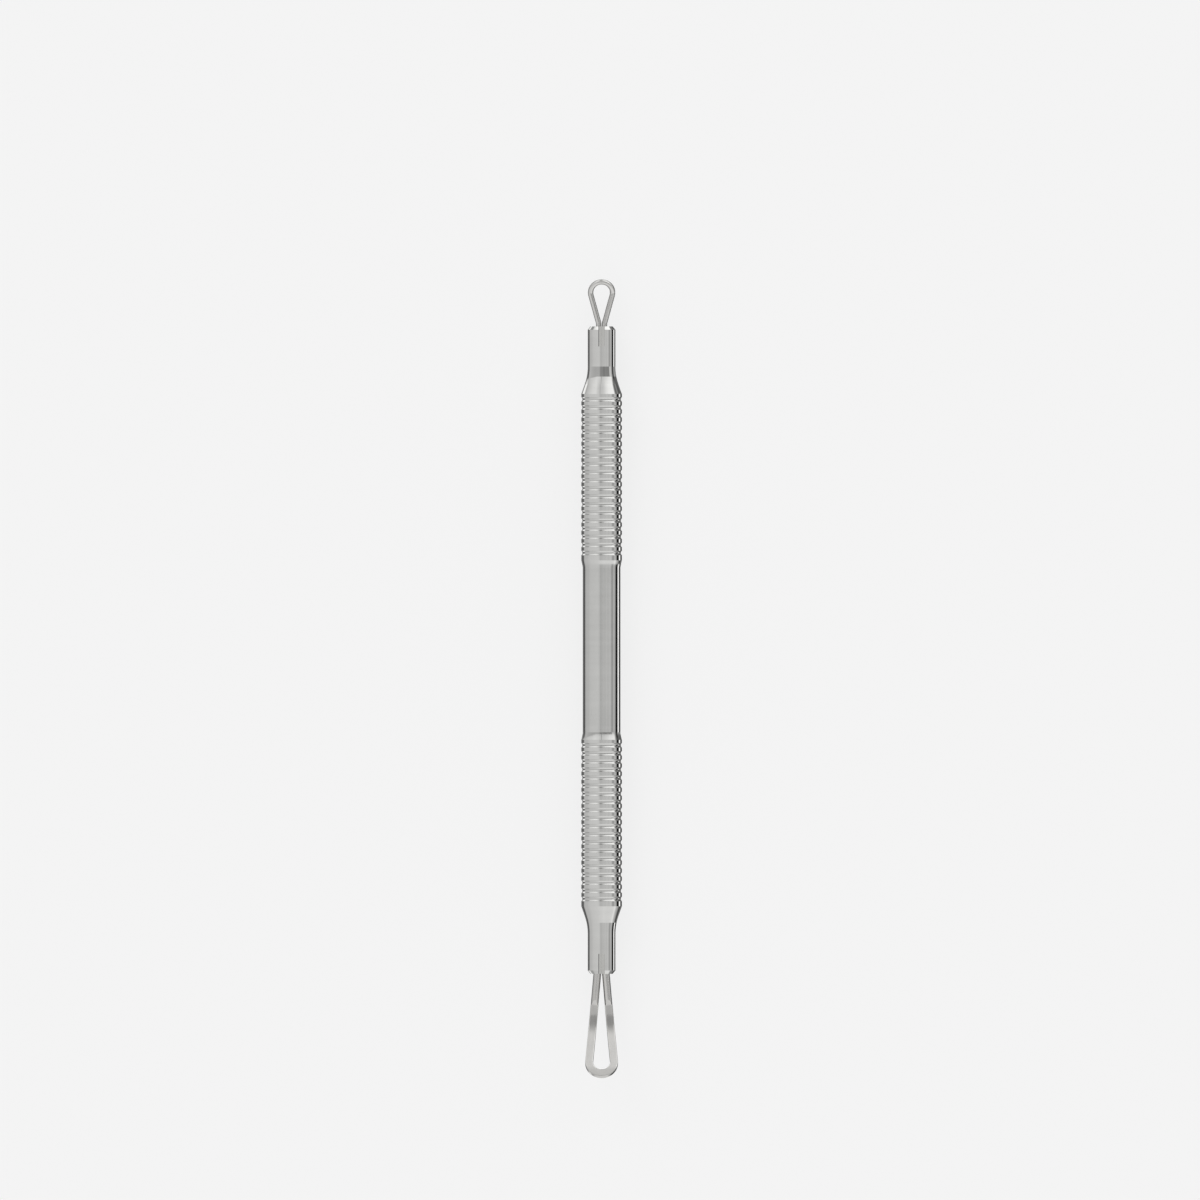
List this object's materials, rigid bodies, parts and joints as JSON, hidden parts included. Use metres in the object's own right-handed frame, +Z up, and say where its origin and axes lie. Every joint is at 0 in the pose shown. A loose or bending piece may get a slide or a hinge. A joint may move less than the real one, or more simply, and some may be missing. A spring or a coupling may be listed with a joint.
{
  "type": "blackhead extractor",
  "caption": "Slim steel skin tool: round handle with ribbed grips and a plain waist, a small folded wire loop at one end and a long flattened, bent loop at the other.",
  "frame": {"origin": "on the resting surface under the middle of the tool's length, below the handle's axis", "axes": "+Y along the handle from the large loop to the small loop, +Z up from the surface, on the side that both loops bend towards"},
  "size_m": [0.006, 0.12, 0.0071],
  "materials": {
    "handle_steel": "turned and polished stainless steel with a soft sheen",
    "socket_steel": "turned and polished stainless steel",
    "loop_steel": "drawn stainless wire, polished, with a satin flat",
    "silver_braze": "silver braze, dressed smooth"
  },
  "bodies": {
    "root": {"grip_tube": "handle_steel", "small_loop_socket": "socket_steel", "large_loop_socket": "socket_steel", "small_loop": "loop_steel", "large_loop": "loop_steel", "small_loop_braze": "silver_braze", "large_loop_braze": "silver_braze"}
  },
  "joints": []
}
